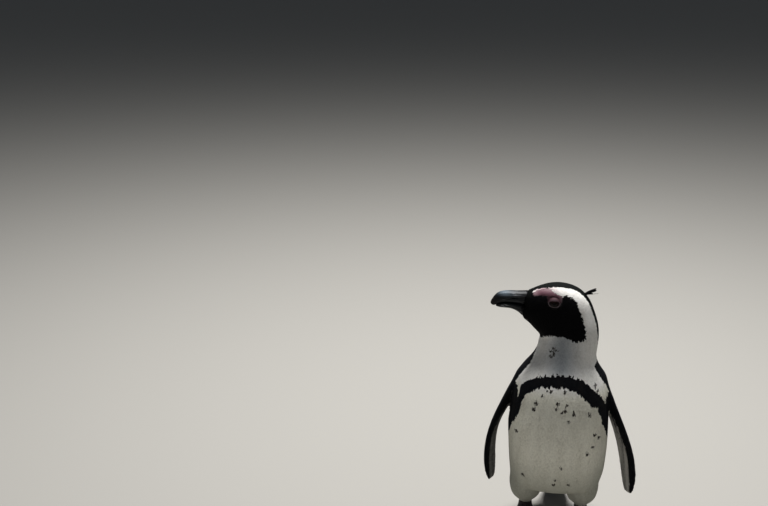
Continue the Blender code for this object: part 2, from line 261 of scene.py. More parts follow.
class Surface:
    # triangles that can be asked for their nearest point, smooth normal and unwrap
    def __init__(self, verts, normals, tris, uvs=None):
        self.verts, self.normals, self.tris, self.uvs = verts, normals, tris, uvs
        self.tree = BVHTree.FromPolygons(verts.tolist(), tris.tolist())

    def nearest(self, points):  # places on the surface, and their triangles
        found = [self.tree.find_nearest(p) for p in points.tolist()]
        return np.array([f[0][:] for f in found]), np.array([f[2] for f in found])

    def shares(self, places, faces):  # of each corner of a triangle in a place on it
        a, b, c = (self.verts[self.tris[faces, k]] for k in range(3))
        v0, v1, v2 = b - a, c - a, places - a
        d00, d01, d11 = (v0 * v0).sum(1), (v0 * v1).sum(1), (v1 * v1).sum(1)
        d20, d21 = (v2 * v0).sum(1), (v2 * v1).sum(1)
        base = np.maximum(d00 * d11 - d01 * d01, 1e-12)
        v = (d11 * d20 - d01 * d21) / base
        w = (d00 * d21 - d01 * d20) / base
        return np.clip(np.stack([1 - v - w, v, w], 1), 0, 1)

    def normalAt(self, places, faces):
        weights = self.shares(places, faces)
        return unit((self.normals[self.tris[faces]] * weights[:, :, None]).sum(1))

    def uvAt(self, places, faces):
        weights = self.shares(places, faces)
        return (self.uvs[faces] * weights[:, :, None]).sum(1)


def surfaceOf(piece):
    mesh = piece.data
    mesh.calc_loop_triangles()
    tris, loops = (readAll(mesh.loop_triangles, name, 3, np.int32) for name in ("vertices", "loops"))
    uvs = readAll(mesh.uv_layers.active.data, "uv", 2)[loops] if mesh.uv_layers else None
    return Surface(vertsOf(piece), normalsOf(piece), tris, uvs)


def joinedSurface(*surfaces):
    starts = np.cumsum([0] + [len(s.verts) for s in surfaces])
    return Surface(np.vstack([s.verts for s in surfaces]), np.vstack([s.normals for s in surfaces]),
                   np.vstack([s.tris + start for s, start in zip(surfaces, starts)]))


# The flesh nodes and the wings' own measures, read from the frame.
fleshNodes = ["trunk", "neck", "head", "wing_left", "wing_right", "tail",
              "leg_left", "leg_right", "foot_left", "foot_right"]


class WhichNode:
    # numbers the flesh node nearest to a point
    def __init__(self, names):
        surfaces = [surfaceOf(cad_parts[name]) for name in names]
        self.owners = np.repeat(np.arange(len(names)), [len(s.tris) for s in surfaces])
        self.tree = joinedSurface(*surfaces).tree

    def at(self, points):
        return self.owners[[self.tree.find_nearest(p)[2] for p in points.tolist()]]


def isOn(nodes, *names):
    return np.isin(nodes, [fleshNodes.index(name) for name in names])


class WingMeasure:
    # where a point lies on a wing: share of the span, share of the half chord, and which face
    def __init__(self, node, side):
        verts = vertsOf(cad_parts[node])
        self.low, self.high = verts[:, 2].min(), verts[:, 2].max()
        self.levels = np.linspace(self.low + 8, self.high - 14, 12)
        rows = []
        for level in self.levels:
            near = verts[np.abs(verts[:, 2] - level) < 11][:, :2]
            middle = (near.min(0) + near.max(0)) / 2
            axis = np.linalg.svd(near - near.mean(0))[2][0]
            axis *= -np.sign(axis[1])  # towards the leading edge, forwards
            along = (near - middle) @ axis
            middle = middle + axis * (along.max() + along.min()) / 2
            rows.append([*middle, *axis, (along.max() - along.min()) / 2])
        self.rows = np.array(rows)
        self.side = side

    def rowAt(self, z):
        # the chord's middle x and y, its direction x and y, and its half length
        return np.array([np.interp(z, self.levels, column) for column in self.rows.T])

    def at(self, points, normals):
        cx, cy, ax, ay, half = self.rowAt(points[:, 2])
        span = np.clip((self.high - points[:, 2]) / (self.high - self.low), 0, 1)
        chord = ((points[:, 0] - cx) * ax + (points[:, 1] - cy) * ay) / half
        under = self.side * (normals[:, 0] * -ay + normals[:, 1] * ax) < 0
        return span, chord, under


whichNode = WhichNode(fleshNodes)
wings = {"wing_left": WingMeasure("wing_left", 1), "wing_right": WingMeasure("wing_right", -1)}

# The markings: what is black, white, pink or grey.
headY = -6  # the head's own middle
eyePlace = np.array([-13.3, 381.5])  # x, z
marks = {
    # heights: under the first the underside is white, and from the others on each part's marks hold
    "groin": 75,
    "napeFrom": 292,
    "maskFrom": 316,
    "headFrom": 334,
    "crownFrom": 385,
    "ragged": (0.45, 0.55, 1.1),  # of the edges everywhere, more of it on the body, and waves there
    # black face: along its upper edge from the bill, round the eye, behind the ear and back
    # under the throat, as x, z on the head's side
    "mask": ((-70, 400), (-47, 400), (-46.5, 390), (-45, 388.4), (-34, 391), (-25, 391.5), (-24, 384),
             (-21, 377.5), (-13.4, 375), (-5, 378), (-2.6, 385), (-0.6, 392), (4.5, 394.4), (13.8, 390),
             (20.4, 383.7), (24.3, 375), (28.8, 364.6), (32.8, 352.8), (35.7, 341), (37, 326),
             (29, 324.6), (23, 323), (17, 325),
             (11, 328.4), (2.5, 331), (-10, 330.6), (-19, 329), (-27, 325), (-31, 320), (-36, 316),
             (-50, 316), (-75, 345)),
    # bare pink skin from the bill to over the eye
    "bare": ((-47, 388), (-46.3, 392), (-39.6, 396.3), (-32.7, 399.2), (-24.6, 400.9), (-18.8, 400.4),
             (-15, 397.2), (-9.2, 395), (-1.2, 392.4), (-2.4, 385), (-4.8, 378), (-13.4, 374.5),
             (-21.5, 377.5), (-24.5, 384), (-25, 391.5), (-34, 391), (-45, 388.4)),
    # half width of the black cap, by x on the crown and by z on the nape, and the y of the
    # nape's stripe, which runs back to join the black of the back
    "capX": ((-62, 16), (-50, 14), (-46.5, 7.5), (-42, 7.4), (-32, 10), (-22, 11.6), (-12, 12.2),
              (0, 12), (10, 11.2), (18, 10.4), (26, 10), (36, 10)),
    "capZ": ((290, 17), (305, 13), (318, 10), (337, 10.5), (350, 11), (362, 11), (375, 10.5), (385, 10)),
    "stripeY": ((290, 32), (300, 20), (311, 5), (320, -2), (332, -6)),
    # white of the throat and shoulders: bearing in degrees from the front, and height
    "throat": ((-60, 224), (-57.8, 233), (-59.5, 246), (-54, 254), (-46, 260), (-31, 267.3), (-16, 271),
               (0, 273), (16, 272.6), (31, 268), (42, 259), (51, 248), (58, 239), (63, 229), (64.5, 223.5),
               (70, 229), (80, 232.5), (79, 238), (73, 254), (68, 266), (66, 280), (88, 284), (104, 292),
               (132, 306), (158, 318), (170, 332), (181, 345), (181, 360), (-181, 360), (-181, 345),
               (-170, 332), (-158, 318), (-132, 308), (-104, 300), (-82, 294), (-77, 287), (-68.5, 279),
               (-70, 265), (-75, 246), (-64, 239.5), (-60.5, 231)),
    "belly": ((-49.5, 216), (-50, 224), (-46, 234), (-40, 245), (-27, 252.5), (-13, 256), (1, 256.2),
              (15, 253), (28, 246.3), (35, 236), (42, 227), (51, 221), (54, 208), (58, 193), (64.6, 181),
              (70, 170.5), (78, 155), (90, 135), (100, 115), (106, 98), (128, 84), (150, 60), (181, 52),
              (181, -5), (-181, -5), (-181, 52), (-150, 60), (-128, 84), (-106, 98), (-100, 115),
              (-90, 135), (-78, 153), (-69.5, 166), (-63.5, 180), (-55.3, 196), (-52.3, 204)),
    "flank": ((86, 200), (88, 185), (97, 150), (106, 120), (105, 97), (127, 88), (119, 120), (106, 150),
              (93, 190)),
    # single dark feathers on the white, as x, z, radius
    "spots": ((-12, 250, 1.9), (-17, 251, 1.6), (9, 251, 2.3), (-24, 241, 2.1), (-34, 230, 2.6),
              (-37, 220, 2.4), (-1.5, 234, 2.3), (12, 231, 1.8), (-2.5, 225, 2), (11, 224, 2.2),
              (6, 220.5, 1.8), (24, 218, 2.4), (48.5, 215, 2.3), (16, 207, 1.5), (-63, 176, 2.3),
              (57.5, 181, 1.9), (64, 174, 2.1), (55.5, 162, 1.9), (47, 152, 2.2), (9, 130, 1.7),
              (-50.5, 103, 2.5), (0.5, 107, 1.9), (-1.5, 97, 1.9), (21, 98, 1.9), (-12.5, 311.6, 1.6),
              (-6.5, 308.7, 1.7), (-11, 305.4, 1.5), (-14.8, 298.5, 1.6), (-10.3, 301.6, 1.4),
              (-16.3, 305.2, 1.3), (54.2, 256.5, 1.6), (55.6, 252.5, 1.5), (58.2, 247.4, 1.5)),
}
tones = {  # three for each kind, in the kinds' order
    "black": shades("#0E0F12", "#131417", "#191716"),
    "white": shades("#F7F5F0", "#EFECE6", "#DBD8D0"),
    "jet": shades("#060607", "#09090A", "#0B0B0C"),
    "cap": shades("#0C0E0D", "#121413", "#0A0B0B"),
    "spot": shades("#2B2622", "#3A332E", "#4A423B"),
    "grey": shades("#4E4D4A", "#96938E", "#CECBC4"),
    # the bare skin's pinks, darkened well below their own colour as painted shade
    "roseAndShade": shades("#83696E", "#5A3741", "#320D17"),
    "foot": shades("#17161A", "#241E20", "#5A3A3C"),
}
black, white, jet, cap, spot, grey, bare, foot = range(8)


def bearing(points):
    return np.degrees(np.arctan2(points[:, 0], -points[:, 1]))


def marking(points, normals, nodes):
    # a kind for each point: black, white, jet, cap, spot, grey, bare or foot
    x, y, z = points.T
    kind = np.full(len(points), black)
    body = isOn(nodes, "trunk", "neck", "head", "leg_left", "leg_right")
    turn = bearing(points)
    pale = inside(marks["throat"], turn, z) | inside(marks["belly"], turn, z)
    pale |= inside(marks["flank"], np.abs(turn), z)
    pale |= (z < marks["groin"]) & (normals[:, 2] < -0.4)
    kind[body & pale] = white
    onHead = (z > marks["headFrom"]) | ((z > marks["maskFrom"]) & inside(marks["mask"], x, z))
    kind[body & onHead] = white
    fromMiddle = np.abs(y - headY)
    onCrown = z > marks["crownFrom"]
    capHalf = np.where(onCrown, follow(marks["capX"], x), follow(marks["capZ"], z))
    fromStripe = np.where(onCrown, fromMiddle, np.abs(y - follow(marks["stripeY"], z)))
    crownSide = np.where(z > 350, z > 372 - 0.28 * (x + 60), x > 10)
    kind[body & onHead & inside(marks["mask"], x, z)] = jet
    kind[body & onHead & inside(marks["bare"], x, z) & (fromMiddle > 5)] = bare
    kind[body & (z > marks["napeFrom"]) & crownSide & (fromStripe < capHalf)] = cap
    for name, wing in wings.items():
        on = isOn(nodes, name)
        if on.any():
            span, chord, under = wing.at(points[on], normals[on])
            streak = waves(points[on] * [1, 1, 0.22], 5.5, 3) + waves(points[on] * [1, 1, 0.5], 2.6, 4) * 0.5
            centre = (chord > -0.93) & (chord < 0.42 + 0.08 * streak)
            palest = smoothStep(0.25, 0.6, span) * 1.15 - 0.3
            kind[np.flatnonzero(on)[under & centre & (streak * 0.55 < palest)]] = grey
    kind[isOn(nodes, "foot_left", "foot_right")] = foot
    return kind


def colourOf(kind, mix):
    # mix from 0 to 1 picks between a kind's three tones
    palette = np.array(list(tones.values()))[kind]
    low = np.clip(mix * 2, 0, 1)[:, None]
    high = np.clip(mix * 2 - 1, 0, 1)[:, None]
    return palette[:, 0] * (1 - low) + palette[:, 1] * (low - high) + palette[:, 2] * high


# The skin is one closed surface in place of the nodes of flesh.
skinSizes = {
    "voxel": 2.0,
    "smoothing": 6,
    "grow": 0.5,  # closes the gaps between the nodes
    "depth": {"trunk": 1.2, "neck": 1.1, "head": 0.75, "wing_left": 0.5, "wing_right": 0.5, "tail": 0.9,
              "leg_left": 1.0, "leg_right": 1.0, "foot_left": 0, "foot_right": 0},  # the coat's
    "bareDepth": 0.4,
    "socketRing": (9, 15),  # the face between these distances from the eye gives the level
    "socketFlat": (11, 8),  # where the skin begins to be laid flat, and where it is flat
    "cheek": 11,  # everything further than this from the head's middle plane is its side
    "easeRounds": 90,
    # where the joins are eased: between which heights it sets in and ends, and how far from the middle
    "hips": ((64, 84), (142, 116), (36, 54)),
    "shoulders": ((222, 250), (300, 284), (34, 50)),
    "hipsEnd": 84,
    "chin": ((-59, 351), 9, 2.7),  # place x, z, reach and fullness
    "scale": (2.4, 0.62),  # a foot scale's length, and how much shorter it is than wide
    "scaleHeight": 0.28,
    "sole": 0.05,  # the soles' height over the floor
}


def skinMaterial():
    # bare skin: soft, mottled in patches of 2.4 mm and finely scaled, with a dull shine
    made, tree, shader = newMaterial("bareSkin", Roughness=0.6, Specular_IOR_Level=0.2)
    colour = addNode(tree, "ShaderNodeAttribute", attribute_name="markings")
    place = addNode(tree, "ShaderNodeTexCoord").outputs["Object"]
    mottle = addNode(tree, "ShaderNodeTexNoise", {"Vector": place, "Scale": 420, "Detail": 4})
    darker = addNode(tree, "ShaderNodeMapRange",
                     {"Value": mottle.outputs["Fac"], "To Min": 0.7, "To Max": 1.25})
    shade = addNode(tree, "ShaderNodeVectorMath", {0: colour.outputs["Color"], 3: darker.outputs["Result"]},
                    operation="SCALE")
    tree.links.new(shade.outputs["Vector"], shader.inputs["Base Color"])
    scales = addNode(tree, "ShaderNodeTexVoronoi", {"Vector": place, "Scale": 640},
                     feature="DISTANCE_TO_EDGE")  # scales of about 1.6 mm
    dome = addNode(tree, "ShaderNodeMapRange", {"Value": scales.outputs["Distance"], "From Max": 0.25})
    bump = addNode(tree, "ShaderNodeBump", {"Height": dome.outputs["Result"], "Strength": 0.55,
                                            "Distance": 0.0004})
    tree.links.new(bump.outputs["Normal"], shader.inputs["Normal"])
    return made


def closeSockets(piece):
    # lays the skin flat over the eye sockets, level with the face round them
    verts = vertsOf(piece)
    for node, side in (("eye_left", -1), ("eye_right", 1)):
        x, z = verts[:, 0] - eyePlace[0], verts[:, 2] - eyePlace[1]
        off = np.hypot(x, z)
        inner, outer = skinSizes["socketRing"]
        near = (off < outer) & (side * (verts[:, 1] - headY) > skinSizes["cheek"])
        terms = np.stack([np.ones(len(x)), x, z, x * x, z * z, x * z], 1)
        ring = near & (off > inner)
        fit = np.linalg.lstsq(terms[ring], verts[ring, 1], rcond=None)[0]
        level = terms @ fit
        share = smoothStep(*skinSizes["socketFlat"], off[near])
        verts[near, 1] += (level[near] - verts[near, 1]) * share
    setVerts(piece, verts)


def easeJoins(piece):
    # fills the creases where the legs leave the belly and where the wings leave the shoulders
    verts = vertsOf(piece)
    smooth = easedVerts(piece, skinSizes["easeRounds"])
    x, z = np.abs(verts[:, 0]), verts[:, 2]
    hips, shoulders = (smoothStep(*low, z) * smoothStep(*high, z) * smoothStep(*wide, x)
                       for low, high, wide in (skinSizes["hips"], skinSizes["shoulders"]))
    hips *= x < skinSizes["hipsEnd"]
    setVerts(piece, verts + (smooth - verts) * np.maximum(hips, shoulders)[:, None])


def fillChin(piece):
    # the chin and the root of the lower bill are fuller than the plain solids
    verts, normals = vertsOf(piece), normalsOf(piece)
    place, reach, amount = skinSizes["chin"]
    away = np.hypot(verts[:, 0] - place[0], verts[:, 2] - place[1]) / reach
    down = np.array([-0.5, 0, -0.87])
    push = amount * np.exp(-away**2) * smoothStep(0, 0.8, normals @ down)
    setVerts(piece, verts + np.outer(push, down))


def refineBare(piece, kinds):
    # halves the faces of the feet and the bare face, and raises the scales of the feet
    mesh = bmesh.new()
    mesh.from_mesh(piece.data)
    mesh.verts.ensure_lookup_table()
    wanted = set(np.flatnonzero(np.isin(kinds, (bare, foot))).tolist())
    edges = [e for e in mesh.edges if e.verts[0].index in wanted and e.verts[1].index in wanted]
    bmesh.ops.subdivide_edges(mesh, edges=edges, cuts=1, use_grid_fill=True, smooth=0.0)
    mesh.to_mesh(piece.data)
    mesh.free()
    verts = vertsOf(piece)
    nodes = whichNode.at(verts)
    onFoot = isOn(nodes, "foot_left", "foot_right")
    setVerts(piece, np.where(onFoot[:, None], easedVerts(piece, 2), verts))
    verts, normals = vertsOf(piece), normalsOf(piece)
    chosen = np.flatnonzero(onFoot & (verts[:, 2] > 1.0))
    size, squash = skinSizes["scale"]
    stretched = verts[chosen] * [squash, 1, 1]
    seeds = stretched[dice.permutation(len(chosen))]
    cells = treeOf(seeds[thinned(seeds, np.full(len(seeds), size * 0.8))].tolist())
    found = np.array([[d for _, _, d in cells.find_n(p, 2)] for p in stretched.tolist()])
    raised = smoothStep(0.05, 0.75, found[:, 1] - found[:, 0])
    soft = smoothStep(1.0, 4.0, verts[chosen, 2]) * smoothStep(0.9, 0.3, -normals[chosen, 2])
    height = skinSizes["scaleHeight"] * (raised - 0.5) * soft
    verts[chosen] += normals[chosen] * height[:, None]
    verts[:, 2] = np.maximum(verts[:, 2], skinSizes["sole"])
    setVerts(piece, verts)
    raisedAll = np.ones(len(verts))
    raisedAll[chosen] = raised
    return nodes, raisedAll


def roseShare(points):
    # from pale pink, 0, to crimson, 1, over the bare skin between bill and eye
    x, z = points[:, 0], points[:, 2]
    share = smoothStep(400, 391.5, z) * smoothStep(-44, -31, x) * smoothStep(-1, -11, x)
    return 0.08 + 0.88 * share + 0.06 * waves(points, 2.2, 12)


# the right wing's share, far below the left's, is painted shade
paleAndShadeShares = {"hindEdge": 0.75, "streak": 0.7, "all": 0.42, "mottle": 0.2, "left": 1.3, "right": 0.3}


def greyAndShadeShare(points, normals, nodes):
    # from dark grey, 0, to pale, 1, under the wings: palest along their hind edge and in one long streak,
    # with the right wing, turned away, kept far darker as painted shade
    share = np.zeros(len(points))
    for name, wing in wings.items():
        on = isOn(nodes, name)
        span, chord, _ = wing.at(points[on], normals[on])
        pale = paleAndShadeShares["hindEdge"] * hump(chord, -0.75, 0.5) * hump(span, 0.55, 0.2)
        pale += paleAndShadeShares["streak"] * hump(chord, 0.22, 0.16) * smoothStep(0.6, 0.72, span)
        pale += paleAndShadeShares["all"] + paleAndShadeShares["mottle"] * waves(points[on] * [1, 1, 0.2], 3.4, 5)
        share[on] = pale * paleAndShadeShares[name.split("_")[1]] + 0.05
    return share


# how much painted shade, soiling and cream the white feathers take in each place
soilAndShadeShares = {"belly": 0.46, "sides": 0.16, "breast": 0.16, "neck": 0.57, "creamAndWarmLight": 0.1}


def soilAndShade(points, kinds):
    # white feathers are greyer low on the belly and at the sides, painted shade with some soiling, a little
    # greyer across the breast, greyer and bluish on the front of the neck, a painted shadow of the head, and
    # cream on the front, partly painted warm reflected light
    x, y, z = points.T
    front = smoothStep(20, -20, y)
    # painted shade with some soiling: greyer low on the belly and towards its sides
    dull = soilAndShadeShares["belly"] * smoothStep(165, 85, z)
    dull += soilAndShadeShares["sides"] * smoothStep(45, 75, np.abs(x)) * smoothStep(230, 190, z)
    dull += soilAndShadeShares["breast"] * hump(z, 232, 22) * front
    # a painted bluish shadow of the head on the front of the neck
    neck = soilAndShadeShares["neck"] * smoothStep(264, 288, z) * smoothStep(350, 330, z) * hump(x, 2, 24) * front
    # the cream on the front is the feathers' own tint with painted warm reflected light
    creamAndWarmLight = soilAndShadeShares["creamAndWarmLight"] * front * smoothStep(262, 244, z)
    grey = 1 - np.outer(dull, [1.02, 1.0, 1.02]) - np.outer(neck, [1.06, 1.0, 0.92])
    return np.where((kinds == white)[:, None], grey * (1 - np.outer(creamAndWarmLight, [0, 0.05, 1])), 1)


def makeSkin():
    outer = copyOf(fleshNodes, "skin", skinSizes["grow"])
    applyModifier(outer, "REMESH", mode="VOXEL", voxel_size=skinSizes["voxel"] * mm)
    applyModifier(outer, "SMOOTH", factor=0.5, iterations=skinSizes["smoothing"])
    closeSockets(outer)
    easeJoins(outer)
    fillChin(outer)
    outer.data.shade_smooth()
    coatTop = surfaceOf(outer)
    nodes = whichNode.at(coatTop.verts)
    kinds = marking(coatTop.verts, coatTop.normals, nodes)
    depths = np.array([skinSizes["depth"][n] for n in fleshNodes])[nodes]
    depths[kinds == bare] = skinSizes["bareDepth"]
    depths = spread(outer, depths, 4)
    setVerts(outer, coatTop.verts - coatTop.normals * depths[:, None])
    nodes, raised = refineBare(outer, kinds)
    verts, normals = vertsOf(outer), normalsOf(outer)
    kinds = marking(verts, normals, nodes)
    editAll(outer, bpy.ops.uv.smart_project, angle_limit=math.radians(70), island_margin=0.002)
    outer.data.uv_layers.active.name = "OFBake"
    mix = np.where(kinds == bare, roseShare(verts), 0.45 + 0.45 * waves(verts, 7, 11))
    mix = np.where(kinds == grey, greyAndShadeShare(verts, normals, nodes), mix)
    colours = colourOf(kinds, np.clip(mix, 0, 1)) * soilAndShade(verts, kinds)
    colours *= 1 - ((kinds == bare) * 0.6 * smoothStep(393.5, 388, verts[:, 2]))[:, None]
    between = ((kinds == foot) * (1 - raised) * 0.5)[:, None]
    colours = blend(colours, shades("#5B4F4E"), between)
    paint(outer, "markings", colours)
    outer.data.materials.append(skinMaterial())
    ride(outer, "foot_skin", *fleshNodes)
    print("skin:", len(outer.data.polygons) * 2, "triangles")
    return coatTop, surfaceOf(outer)


coatTop, skin = makeSkin()

billSizes = {
    "voxel": 0.5,
    "smoothing": 4,
    "grow": 0.35,
    "grooves": (  # points x, z along each, its depth and half width
        (((-56, 383), (-68, 382.2), (-80, 380.2), (-90, 376.8), (-98, 371)), 0.55, 1.0),
        (((-70.5, 382.1), (-73, 381.7), (-77.5, 380.8)), 1.5, 0.8),  # nostril
        (((-57, 360.5), (-66, 363.6), (-78, 366.4), (-92, 367.6)), 0.45, 0.9),
    ),
    "ridges": (0.03, 1.3),  # height and spacing of the fine ridges across the horn
    "worn": (  # share, place x, z and reach of each pale streak; the third is by the lower tip
        (0.6, (-72, 387.3), (6, 3)), (0.1, (-82, 376.5), (14, 2)),
        (1.0, (-90, 367), (5.5, 2.6)), (0.1, (-61, 372), (4, 3)),
    ),
}


def toLine(x, z, corners):
    # distance from points to a bent line
    corners = np.array(corners, float)
    nearest = np.full(len(x), 99.0)
    for a, b in zip(corners, corners[1:]):
        share = np.clip(((x - a[0]) * (b - a)[0] + (z - a[1]) * (b - a)[1]) / ((b - a) @ (b - a)), 0, 1)
        nearest = np.minimum(nearest, np.hypot(x - a[0] - share * (b - a)[0], z - a[1] - share * (b - a)[1]))
    return nearest


def billMaterial():
    # horn: layered keratin, blue-black and dull, worn to pale streaks 2 mm wide that run along it
    made, tree, shader = newMaterial("billKeratin", IOR=1.5, Specular_IOR_Level=0.22)
    base = addNode(tree, "ShaderNodeAttribute", attribute_name="horn")
    wear = addNode(tree, "ShaderNodeAttribute", attribute_name="wear")
    place = addNode(tree, "ShaderNodeTexCoord").outputs["Object"]
    stretched = addNode(tree, "ShaderNodeMapping", {"Vector": place, "Rotation": (0, math.radians(-6), 0),
                                                    "Scale": (0.13, 1, 1)})
    streaks = addNode(tree, "ShaderNodeTexNoise",
                      {"Vector": stretched.outputs["Vector"], "Scale": 560, "Detail": 4, "Roughness": 0.55})
    crisp = addNode(tree, "ShaderNodeMapRange", {"Value": streaks.outputs["Fac"], "From Min": 0.5,
                                                 "From Max": 0.64})
    share = addNode(tree, "ShaderNodeMath", {0: crisp.outputs["Result"], 1: wear.outputs["Fac"]},
                    operation="MULTIPLY", use_clamp=True)
    tone = addNode(tree, "ShaderNodeMix", {"Factor": share.outputs[0]}, data_type="RGBA")
    tone.inputs[7].default_value = linear("#B9BCC1")
    tree.links.new(base.outputs["Color"], tone.inputs[6])
    tree.links.new(tone.outputs[2], shader.inputs["Base Color"])
    dull = addNode(tree, "ShaderNodeMapRange", {"Value": streaks.outputs["Fac"], "From Min": 0.3,
                                                "From Max": 0.7, "To Min": 0.42, "To Max": 0.62})
    tree.links.new(dull.outputs["Result"], shader.inputs["Roughness"])
    bump = addNode(tree, "ShaderNodeBump", {"Height": streaks.outputs["Fac"], "Strength": 0.35,
                                            "Distance": 0.0003})
    tree.links.new(bump.outputs["Normal"], shader.inputs["Normal"])
    return made


def hornColours(points):
    # black at the face, a faint slate half way along with a painted blue-grey sheen on the top towards the
    # tip, and a brown hook
    x, y, z = points.T
    # painted sheen: a reflection of the sky on the top of the upper bill
    slateAndSheen = np.clip(hump(x, -90, 10) * hump(z, 387.5, 4) + 0.05 * hump(x, -80, 16), 0, 1)[:, None]
    hook = (smoothStep(-102, -109, x) * 0.7)[:, None]
    return blend(blend(shades("#050507"), shades("#566069"), slateAndSheen), shades("#1B120E"), hook)


def hornWear(points):
    # how worn and pale the horn is
    worn = np.full(len(points), 0.01)
    for share, (x, z), (long, high) in billSizes["worn"]:
        worn += share * hump(points[:, 0], x, long) * hump(points[:, 2], z, high)
    return np.clip(worn, 0, 1)[:, None] * np.ones(3)


def makeBill():
    horn = billMaterial()
    for node in ("bill_upper", "bill_lower"):
        piece = copyOf([node], "bill" + node.split("_")[1].title(), billSizes["grow"])
        applyModifier(piece, "REMESH", mode="VOXEL", voxel_size=billSizes["voxel"] * mm)
        applyModifier(piece, "SMOOTH", factor=0.5, iterations=billSizes["smoothing"])
        verts, normals = vertsOf(piece), normalsOf(piece)
        x, y, z = verts.T
        sideways = smoothStep(0.3, 0.7, np.abs(normals[:, 1]))
        dip = np.zeros(len(verts))
        for corners, depth, width in billSizes["grooves"]:
            dip += depth * sideways * np.exp(-(toLine(x, z, corners) / width)**2)
        height, spacing = billSizes["ridges"]
        ridged = smoothStep(-103, -97, x) * smoothStep(-78, -86, x)
        dip -= height * ridged * np.sin((x + 0.4 * z) * math.tau / spacing)
        setVerts(piece, verts - normals * dip[:, None])
        if node == "bill_lower":
            fillChin(piece)
        piece.data.shade_smooth()
        piece.data.materials.append(horn)
        paint(piece, "horn", hornColours(verts))
        paint(piece, "wear", hornWear(verts))
        ride(piece, "bill_horn", node)
        bills.append(surfaceOf(piece))
        print(piece.name, len(piece.data.polygons) * 2, "triangles")


bills = []
makeBill()

featherSizes = {
    # spacing, length, width, thickness, lift of the tip, all in mm
    "trunk": (1.6, 9.0, 3.3, 0.14, 0.08),
    "neck": (1.4, 7.2, 2.7, 0.13, 0.08),
    "head": (1.1, 4.6, 2.0, 0.12, 0.06),
    "wing": (1.2, 3.4, 1.8, 0.13, 0.05),
    "tail": (1.8, 6, 2.6, 0.08, 0.0),
    "leg": (1.5, 7.4, 3.2, 0.14, 0.1),
    "face": (0.95, 2.6, 1.4, 0.1, 0.04),  # next to the bill and the eye
    "yaw": 0.16,
    "stations": ((0.34, 0.72), (0.7, 1.0), (0.93, 0.62)),  # shares of the length and the width
    "tries": 3.2,  # seeds thrown for each spacing squared, before they are thinned
    "aroundEye": (10.4, 9.0, 6.8),  # half width, and height above and below, that the lids leave bare
    "tailEnd": 9,  # height under which the tail has quills only
    "headZone": 300,  # height over which the feathers go into the head's pieces
    "pinkTint": ((-34, 398.5), (21, 6), 0.92),  # place x, z, reach and share by the bare skin
    # where the fringe starts on the bill, as z, x
    "fringe": ((350, -58.5), (356, -61), (363, -65), (369, -64.5), (375, -62), (384, -60), (391, -58)),
    "fringeCount": 900,
    "barbs": 150,  # makes a ridge each 0.4 mm, four times as coarse as real barbs, so that they show
    "uvPatch": 0.003,
}
billRoot = np.array([-64.0, headY, 373.0])  # head feathers point away from here
groups = ("trunk", "neck", "head", "wing", "tail", "leg")
groupOf = np.array([groups.index(n.split("_")[0]) if n[:4] != "foot" else -1 for n in fleshNodes])


def featherSize(points, nodes):
    # one row of spacing, length, width, thickness and lift for each point
    rows = {name: np.array(featherSizes[name]) for name in (*groups, "face")}
    group, z = groupOf[nodes][:, None], points[:, 2:3]
    fromBill = np.linalg.norm(points - billRoot, axis=1)
    fromEye = np.hypot(points[:, 0] - eyePlace[0], points[:, 2] - eyePlace[1])
    away = np.minimum(smoothStep(16, 46, fromBill), smoothStep(8, 24, fromEye))[:, None]
    onHead = blend(blend(rows["face"], rows["head"], away), rows["neck"], smoothStep(350, 300, z))
    onTrunk = rows["neck"] * smoothStep(265, 300, z) + rows["trunk"] * smoothStep(300, 265, z)
    sizes = np.array([rows[name] for name in groups])[np.maximum(group[:, 0], 0)]
    sizes = np.where(group == groups.index("head"), onHead, sizes)
    return np.where(group <= groups.index("neck"), onTrunk, sizes)


def lie(points, normals, nodes):
    # the way the feathers point, along the surface
    down = np.tile([0.0, 0.06, -1.0], (len(points), 1))
    fromBill = unit(points - billRoot)
    way = blend(down, fromBill, smoothStep(322, 352, points[:, 2:3]))
    under = smoothStep(-0.45, -0.85, normals[:, 2:3]) * (points[:, 2:3] < 110)
    way = blend(way, np.array([0, 1, -0.1]), under)
    for name, wing in wings.items():
        on = isOn(nodes, name)
        z = points[on][:, 2]
        step = 12.0
        here, ahead = wing.rowAt(z), wing.rowAt(z - step)
        along = np.stack([*(ahead - here)[:2], np.full(len(z), -step)], 1)
        back = np.stack([-here[2], -here[3], np.zeros(len(z))], 1)
        way[on] = unit(along) + back * 0.35
    tail = isOn(nodes, "tail")
    way[tail] = np.outer(points[tail][:, 0], [0.012, 0, 0]) + [0, 0.7, -0.72]
    way = way - normals * (way * normals).sum(1, keepdims=True)
    return unit(way)


def scatter():
    # seeds over the coat's top, no two nearer than their own spacing
    corners = coatTop.verts[coatTop.tris]
    area = np.linalg.norm(np.cross(corners[:, 1] - corners[:, 0], corners[:, 2] - corners[:, 0]), axis=1) / 2
    middles = corners.mean(1)
    nodes = whichNode.at(middles)
    spacing = featherSize(middles, nodes)[:, 0]
    wanted = area / spacing**2 * featherSizes["tries"]
    wanted[groupOf[nodes] < 0] = 0
    counts = dice.poisson(wanted)
    faces = np.repeat(np.arange(len(area)), counts)
    r1, r2 = np.sqrt(dice.random(len(faces))), dice.random(len(faces))
    shares = np.stack([1 - r1, r1 * (1 - r2), r1 * r2], 1)
    points = (corners[faces] * shares[:, :, None]).sum(1)
    normals = unit((coatTop.normals[coatTop.tris[faces]] * shares[:, :, None]).sum(1))
    gap = spacing[faces]
    order = dice.permutation(len(points))
    points, normals, faces, gap = points[order], normals[order], faces[order], gap[order]
    kept = thinned(points, gap)
    print("feather seeds:", len(kept))
    return points[kept], normals[kept], nodes[faces[kept]]


